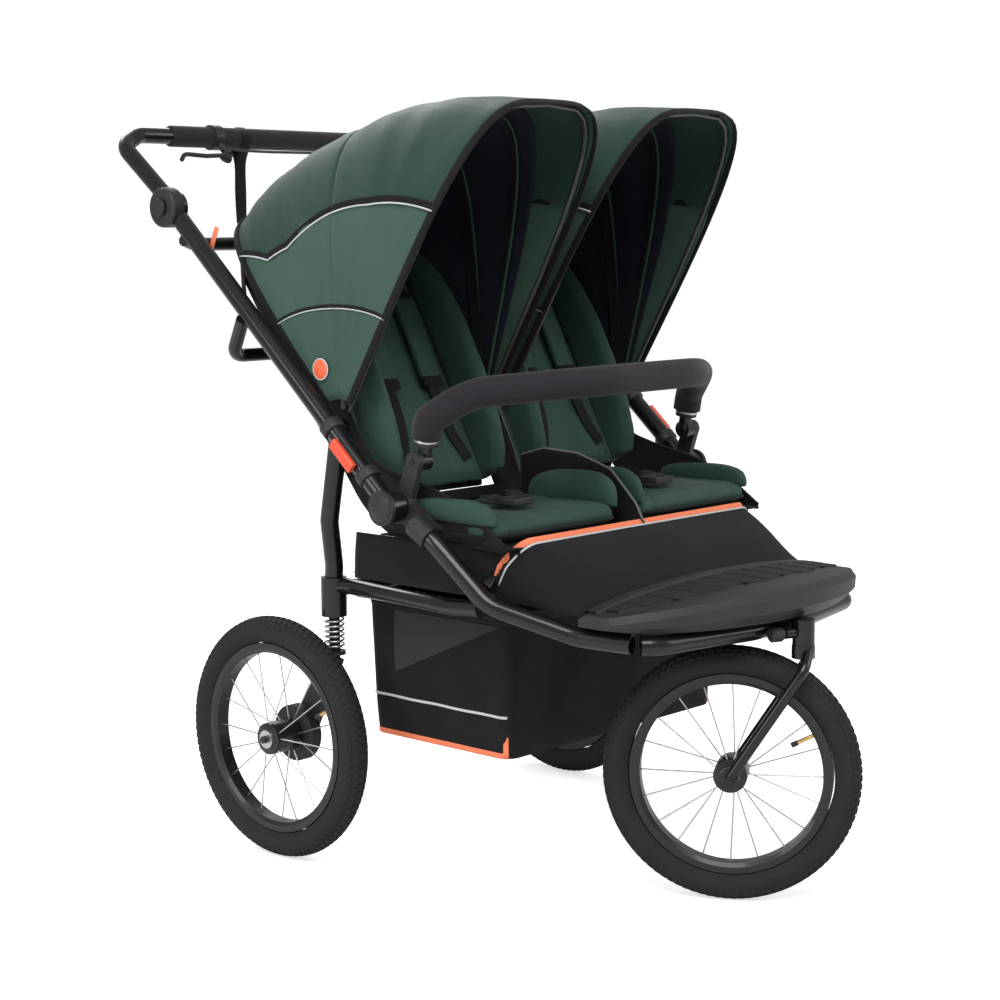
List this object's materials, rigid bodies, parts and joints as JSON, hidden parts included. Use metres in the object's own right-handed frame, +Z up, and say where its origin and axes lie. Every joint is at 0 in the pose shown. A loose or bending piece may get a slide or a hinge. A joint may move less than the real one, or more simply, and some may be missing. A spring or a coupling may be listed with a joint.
{
  "type": "double jogging stroller",
  "caption": "Side-by-side double jogging stroller with a folding tube frame, swivelling front wheel, sprung rear legs, hoods, padded seats, bumper bar, footplate and basket.",
  "frame": {"origin": "on the ground, under the middle of the overall box", "axes": "+Z up, -Y towards the front wheel, +X the children's left"},
  "size_m": [0.7946, 1.2771, 1.2315],
  "materials": {
    "frame_black": "gloss black powder coat on aluminium tube",
    "hinge_plastic": "dark grey satin glass-filled nylon",
    "plate_plastic": "dark grey satin moulded polypropylene",
    "catch_orange": "red-orange moulded nylon",
    "steel": "zinc-plated and stainless steel",
    "rim_black": "satin black anodised aluminium",
    "tyre": "dark grey rubber with a fine tread",
    "foam": "charcoal neoprene over foam",
    "cable_black": "black cable outer",
    "fabric_green": "bottle-green polyester with a soft sheen",
    "bow_rod": "black sprung hood rod",
    "fabric_black": "black coated polyester"
  },
  "bodies": {
    "chassis": {"lower_tube_left": "frame_black", "lower_tube_right": "frame_black", "side_rails": "frame_black", "rear_leg_left": "frame_black", "rear_leg_right": "frame_black", "front_cross_tube": "frame_black", "cross_tubes": "frame_black", "head_tube": "frame_black", "hinge_casting_left": "hinge_plastic", "hinge_casting_right": "hinge_plastic", "hinge_pins": "steel", "footplate": "plate_plastic", "leg_panel": "fabric_black", "seat_deck": "fabric_black", "seat_pad_left": "fabric_green", "seat_pad_right": "fabric_green", "basket": "fabric_black"},
    "upper_frame": {"upper_tube_left": "frame_black", "upper_tube_right": "frame_black", "handle_joints": "hinge_plastic", "upper_cross_tubes": "frame_black", "hood_rear_left": "fabric_green", "hood_rear_right": "fabric_green"},
    "handle": {"handle_bar": "frame_black", "handle_grip": "foam", "brake_bracket": "hinge_plastic", "brake_cable": "cable_black", "wrist_strap": "fabric_black"},
    "brake_lever": {"brake_lever": "hinge_plastic"},
    "bumper": {"bumper_bar": "frame_black", "bumper_foam": "foam"},
    "fork": {"fork": "frame_black"},
    "front_wheel": {"tyre_front": "tyre", "rim_front": "rim_black", "hub_front": "steel"},
    "swivel_lock": {"swivel_lock_knob": "hinge_plastic"},
    "catch_left": {"fold_catch_left": "catch_orange"},
    "button_left": {"handle_button_left": "hinge_plastic"},
    "canopy_mid_left": {"hood_mid_left": "fabric_green", "hood_bow_mid_left": "bow_rod"},
    "canopy_front_left": {"hood_front_left": "fabric_green", "hood_bow_front_left": "bow_rod"},
    "seat_back_left": {"seat_back_left": "fabric_green"},
    "strut_left": {"swing_arm_left": "hinge_plastic", "spring_left": "steel"},
    "rear_wheel_left": {"tyre_rear_left": "tyre", "rim_rear_left": "rim_black", "hub_rear_left": "steel"},
    "catch_right": {"fold_catch_right": "catch_orange"},
    "button_right": {"handle_button_right": "hinge_plastic"},
    "canopy_mid_right": {"hood_mid_right": "fabric_green", "hood_bow_mid_right": "bow_rod"},
    "canopy_front_right": {"hood_front_right": "fabric_green", "hood_bow_front_right": "bow_rod"},
    "seat_back_right": {"seat_back_right": "fabric_green"},
    "strut_right": {"swing_arm_right": "hinge_plastic", "spring_right": "steel"},
    "rear_wheel_right": {"tyre_rear_right": "tyre", "rim_rear_right": "rim_black", "hub_rear_right": "steel"}
  },
  "joints": [
    {"name": "fold", "type": "hinge", "parent": "chassis", "child": "upper_frame", "pos_m": [0, -0.043, 0.607], "axis": [1, 0, 0], "range_deg": [0, 92], "deforming": ["hood_rear_left", "hood_mid_left", "hood_front_left", "hood_bow_mid_left", "hood_bow_front_left", "hood_rear_right", "hood_mid_right", "hood_front_right", "hood_bow_mid_right", "hood_bow_front_right"]},
    {"name": "bumper_swing", "type": "hinge", "parent": "chassis", "child": "bumper", "pos_m": [0, -0.07, 0.677], "axis": [1, 0, 0], "range_deg": [0, 60]},
    {"name": "handle_tilt", "type": "hinge", "parent": "upper_frame", "child": "handle", "pos_m": [0, 0.47, 1.062], "axis": [1, 0, 0], "range_deg": [-45, 30]},
    {"name": "brake_pull", "type": "hinge", "parent": "handle", "child": "brake_lever", "pos_m": [-0.15, 0.58352, 1.1548], "axis": [0, 0.65, -0.76], "range_deg": [0, 13], "stiffness_Nm_per_rad": 0.6, "springref_deg": -17.19},
    {"name": "front_swivel", "type": "hinge", "parent": "chassis", "child": "fork", "pos_m": [0, -0.552, 0.402], "axis": [0, 0, 1], "continuous": true},
    {"name": "front_wheel_spin", "type": "hinge", "parent": "fork", "child": "front_wheel", "pos_m": [-0.05511, -0.46028, 0.2], "axis": [0.8572, 0.515, 0], "continuous": true},
    {"name": "swivel_lock_pull", "type": "slide", "parent": "chassis", "child": "swivel_lock", "axis": [-0.9397, 0.342, 0], "range_m": [0, 0.008], "stiffness_N_per_m": 500, "springref_m": -0.004},
    {"name": "hood_mid_left", "type": "hinge", "parent": "upper_frame", "child": "canopy_mid_left", "pos_m": [0.183, 0.088, 0.724], "axis": [-1, 0, 0], "range_deg": [0, 30], "deforming": ["hood_rear_left", "hood_mid_left", "hood_front_left", "hood_bow_mid_left", "hood_bow_front_left"]},
    {"name": "hood_front_left", "type": "hinge", "parent": "canopy_mid_left", "child": "canopy_front_left", "pos_m": [0.183, 0.088, 0.724], "axis": [-1, 0, 0], "range_deg": [0, 30]},
    {"name": "seat_recline_left", "type": "hinge", "parent": "upper_frame", "child": "seat_back_left", "pos_m": [0.17, 0.035, 0.612], "axis": [1, 0, 0], "range_deg": [-18, 0]},
    {"name": "handle_button_press_left", "type": "slide", "parent": "handle", "child": "button_left", "axis": [-1, 0, 0], "range_m": [0, 0.004], "stiffness_N_per_m": 400, "springref_m": -0.003},
    {"name": "catch_pull_left", "type": "slide", "parent": "upper_frame", "child": "catch_left", "axis": [0, 0.7481, 0.6635], "range_m": [0, 0.008], "stiffness_N_per_m": 400, "springref_m": -0.005},
    {"name": "strut_travel_left", "type": "slide", "parent": "chassis", "child": "strut_left", "axis": [0, 0, 1], "range_m": [0, 0.025], "stiffness_N_per_m": 9000, "springref_m": -0.012, "deforming": ["spring_left"]},
    {"name": "rear_wheel_spin_left", "type": "hinge", "parent": "strut_left", "child": "rear_wheel_left", "pos_m": [0.359, 0.238, 0.2], "axis": [1, 0, 0], "continuous": true},
    {"name": "hood_mid_right", "type": "hinge", "parent": "upper_frame", "child": "canopy_mid_right", "pos_m": [-0.183, 0.088, 0.724], "axis": [-1, 0, 0], "range_deg": [0, 30], "deforming": ["hood_rear_right", "hood_mid_right", "hood_front_right", "hood_bow_mid_right", "hood_bow_front_right"]},
    {"name": "hood_front_right", "type": "hinge", "parent": "canopy_mid_right", "child": "canopy_front_right", "pos_m": [-0.183, 0.088, 0.724], "axis": [-1, 0, 0], "range_deg": [0, 30]},
    {"name": "seat_recline_right", "type": "hinge", "parent": "upper_frame", "child": "seat_back_right", "pos_m": [-0.17, 0.035, 0.612], "axis": [1, 0, 0], "range_deg": [-18, 0]},
    {"name": "handle_button_press_right", "type": "slide", "parent": "handle", "child": "button_right", "axis": [1, 0, 0], "range_m": [0, 0.004], "stiffness_N_per_m": 400, "springref_m": -0.003},
    {"name": "catch_pull_right", "type": "slide", "parent": "upper_frame", "child": "catch_right", "axis": [0, 0.7481, 0.6635], "range_m": [0, 0.008], "stiffness_N_per_m": 400, "springref_m": -0.005},
    {"name": "strut_travel_right", "type": "slide", "parent": "chassis", "child": "strut_right", "axis": [0, 0, 1], "range_m": [0, 0.025], "stiffness_N_per_m": 9000, "springref_m": -0.012, "deforming": ["spring_right"]},
    {"name": "rear_wheel_spin_right", "type": "hinge", "parent": "strut_right", "child": "rear_wheel_right", "pos_m": [-0.359, 0.238, 0.2], "axis": [1, 0, 0], "continuous": true}
  ],
  "couplings": [
    {"joint": "bumper_swing", "follows": "fold", "ratio": 0.6522},
    {"joint": "hood_front_left", "follows": "hood_mid_left", "ratio": 1},
    {"joint": "hood_front_right", "follows": "hood_mid_right", "ratio": 1}
  ]
}
